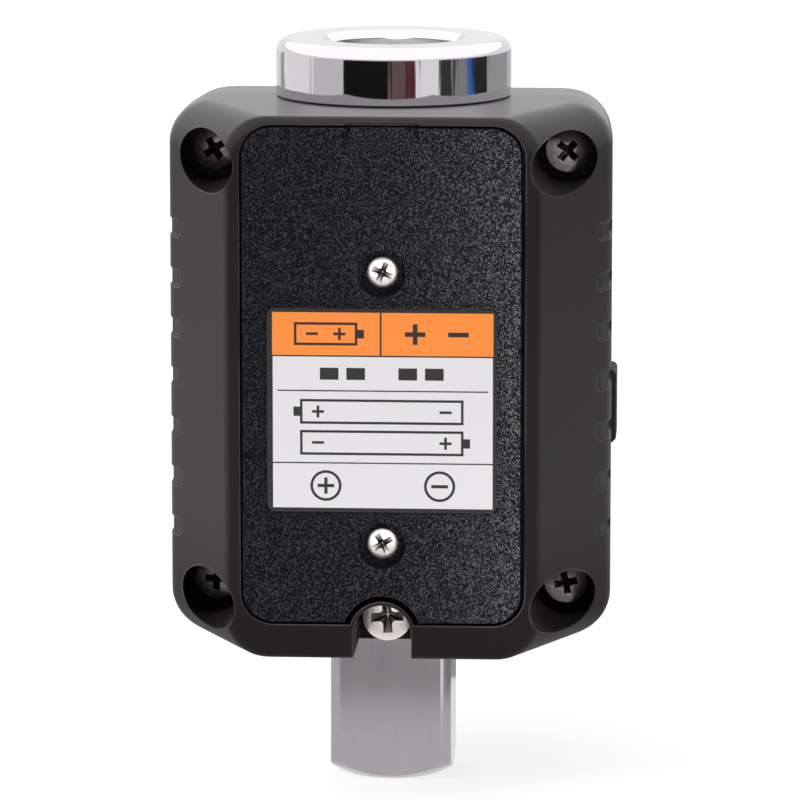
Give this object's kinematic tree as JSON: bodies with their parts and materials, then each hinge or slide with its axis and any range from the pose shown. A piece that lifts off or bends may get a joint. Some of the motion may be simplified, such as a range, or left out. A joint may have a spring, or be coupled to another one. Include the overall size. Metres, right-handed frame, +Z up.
{
  "type": "digital torque meter",
  "caption": "Electronic torque meter that goes between a square drive handle and its socket, with a display and keys at the front and cells under a screwed cover at the back.",
  "frame": {"origin": "centre of the male square's end face, on the drive axis", "axes": "+Z runs up the drive axis from the male square to the female square, +Y is the rear with the battery cover, -Y is the front with the display"},
  "size_m": [0.0463, 0.0366, 0.0777],
  "materials": {
    "shaft_chrome": "bright chrome plate, satin on the male square",
    "bush_acetal": "plain moulded",
    "seal_rubber": "plain",
    "shell_plastic": "fine matt texture, black",
    "cover_plastic": "coarse spark texture, black",
    "label_film": "printed film, orange, white and black",
    "screw_steel": "plated",
    "cell_can": "printed can",
    "spring_steel": "nickel plated wire",
    "plate_steel": "nickel plated strip",
    "lead_pvc": "insulated wire",
    "panel_film": "printed, silver grey",
    "window_clear": "clear moulding",
    "lcd_glass": "liquid crystal cell",
    "frame_white": "plain moulded",
    "strip_rubber": "conductive strips",
    "light_guide": "milky",
    "board_green": "lacquered board",
    "chip_black": "moulded",
    "dome_steel": "spring steel",
    "key_orange": "soft touch",
    "key_grey": "soft touch",
    "lamp_clear": "tinted lens",
    "buzzer_black": "moulded",
    "jack_black": "moulded",
    "port_rubber": "soft",
    "gauge_foil": "polyimide film",
    "ball_steel": "polished"
  },
  "bodies": {
    "meter": {"torque_shaft": "shaft_chrome", "upper_bush": "bush_acetal", "lower_seal": "seal_rubber", "rear_shell": "shell_plastic", "front_shell": "shell_plastic", "corner_screws": "screw_steel", "shaft_screw": "screw_steel", "cell_a": "cell_can", "cell_b": "cell_can", "contact_springs": "spring_steel", "terminal_plates": "plate_steel", "battery_leads": "lead_pvc", "front_panel": "panel_film", "display_window": "window_clear", "display_glass": "lcd_glass", "display_frame": "frame_white", "contact_strips": "strip_rubber", "display_backlight": "light_guide", "main_board": "board_green", "board_screws": "screw_steel", "board_chips": "chip_black", "dome_contacts": "dome_steel", "indicator_lights": "lamp_clear", "buzzer": "buzzer_black", "signal_jack": "jack_black", "strain_gauges": "gauge_foil", "gauge_ribbon": "gauge_foil", "detent_spring": "spring_steel"},
    "battery_cover": {"battery_cover": "cover_plastic", "battery_label": "label_film", "cover_screws": "screw_steel"},
    "power_key": {"key_power": "key_orange"},
    "unit_key": {"key_unit": "key_grey"},
    "up_key": {"key_up": "key_grey"},
    "down_key": {"key_down": "key_grey"},
    "port_cover": {"port_cover": "port_rubber"},
    "detent_ball": {"detent_ball": "ball_steel"}
  },
  "joints": [
    {"name": "battery_cover_lift", "type": "slide", "parent": "meter", "child": "battery_cover", "axis": [0, 1, 0], "range_m": [0, 0.025]},
    {"name": "power_key_press", "type": "slide", "parent": "meter", "child": "power_key", "axis": [0, 1, 0], "range_m": [0, 0.00035], "stiffness_N_per_m": 1000},
    {"name": "unit_key_press", "type": "slide", "parent": "meter", "child": "unit_key", "axis": [0, 1, 0], "range_m": [0, 0.00035], "stiffness_N_per_m": 1000},
    {"name": "up_key_press", "type": "slide", "parent": "meter", "child": "up_key", "axis": [0, 1, 0], "range_m": [0, 0.00035], "stiffness_N_per_m": 1000},
    {"name": "down_key_press", "type": "slide", "parent": "meter", "child": "down_key", "axis": [0, 1, 0], "range_m": [0, 0.00035], "stiffness_N_per_m": 1000},
    {"name": "port_cover_hinge", "type": "hinge", "parent": "meter", "child": "port_cover", "pos_m": [-0.02275, -0.0046, 0.042], "axis": [0, 1, 0], "range_deg": [0, 95]},
    {"name": "detent_ball_press", "type": "slide", "parent": "meter", "child": "detent_ball", "axis": [0, 1, 0], "range_m": [0, 0.0007], "stiffness_N_per_m": 3000, "deforming": ["detent_spring"]}
  ]
}
